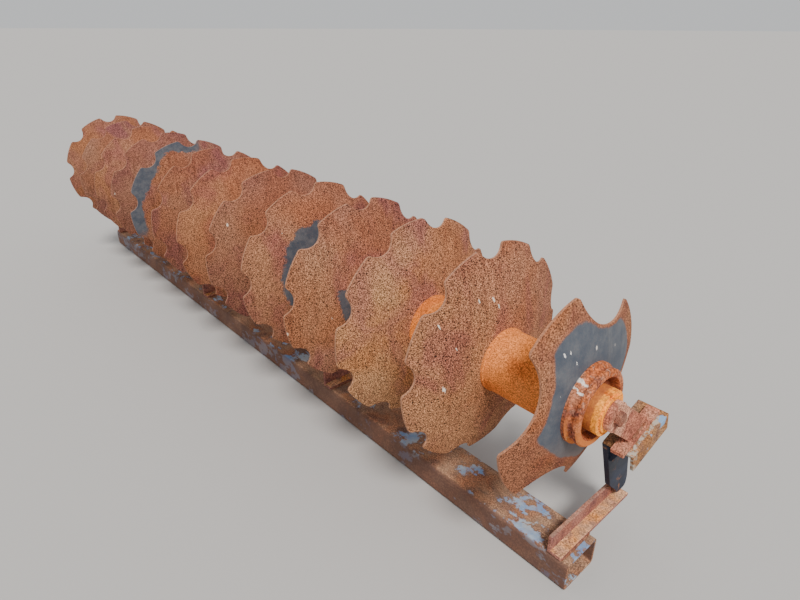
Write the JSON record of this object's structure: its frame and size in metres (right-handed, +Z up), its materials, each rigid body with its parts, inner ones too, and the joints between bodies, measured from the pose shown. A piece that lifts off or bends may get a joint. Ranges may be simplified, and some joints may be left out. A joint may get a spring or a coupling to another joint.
{
  "type": "disc harrow gang",
  "caption": "Rusty gang of notched discs from a disc harrow, standing upside down on its box-section beam, with a scalloped end disc and bearings on hangers.",
  "frame": {"origin": "on the ground, in the middle of the gang beam's lower face", "axes": "+X along the gang towards the scalloped end disc, +Z up, +Y towards the hangers' side"},
  "size_m": [3.828, 0.66, 0.905],
  "materials": {
    "disc_rust": "matt",
    "orange_rust": "matt",
    "brown_rust": "matt",
    "worn_blue_paint": "matt",
    "dark_blue_paint": "satin"
  },
  "bodies": {
    "gang_frame": {"gang_beam": "worn_blue_paint", "cross_angle_near": "brown_rust", "cross_angle_mid_near": "brown_rust", "cross_angle_mid_far": "brown_rust", "cross_angle_far": "brown_rust", "hanger_near": "dark_blue_paint", "hanger_mid_near": "dark_blue_paint", "hanger_mid_far": "dark_blue_paint", "hanger_far": "dark_blue_paint", "pad_plate_near": "worn_blue_paint", "pad_plate_mid_near": "worn_blue_paint", "pad_plate_mid_far": "worn_blue_paint", "pad_plate_far": "worn_blue_paint", "bearing_bracket_near": "brown_rust", "bearing_bracket_mid_near": "brown_rust", "bearing_bracket_mid_far": "brown_rust", "bearing_bracket_far": "brown_rust", "bearing_housing_near": "orange_rust", "bearing_housing_mid_near": "orange_rust", "bearing_housing_mid_far": "orange_rust", "bearing_housing_far": "orange_rust"},
    "disc_gang": {"gang_shaft": "brown_rust", "notched_discs": "disc_rust", "end_disc": "disc_rust", "spools": "orange_rust", "end_bell": "brown_rust"}
  },
  "joints": [
    {"name": "gang_spin", "type": "hinge", "parent": "gang_frame", "child": "disc_gang", "pos_m": [0, 0, 0.575], "axis": [1, 0, 0], "continuous": true}
  ]
}
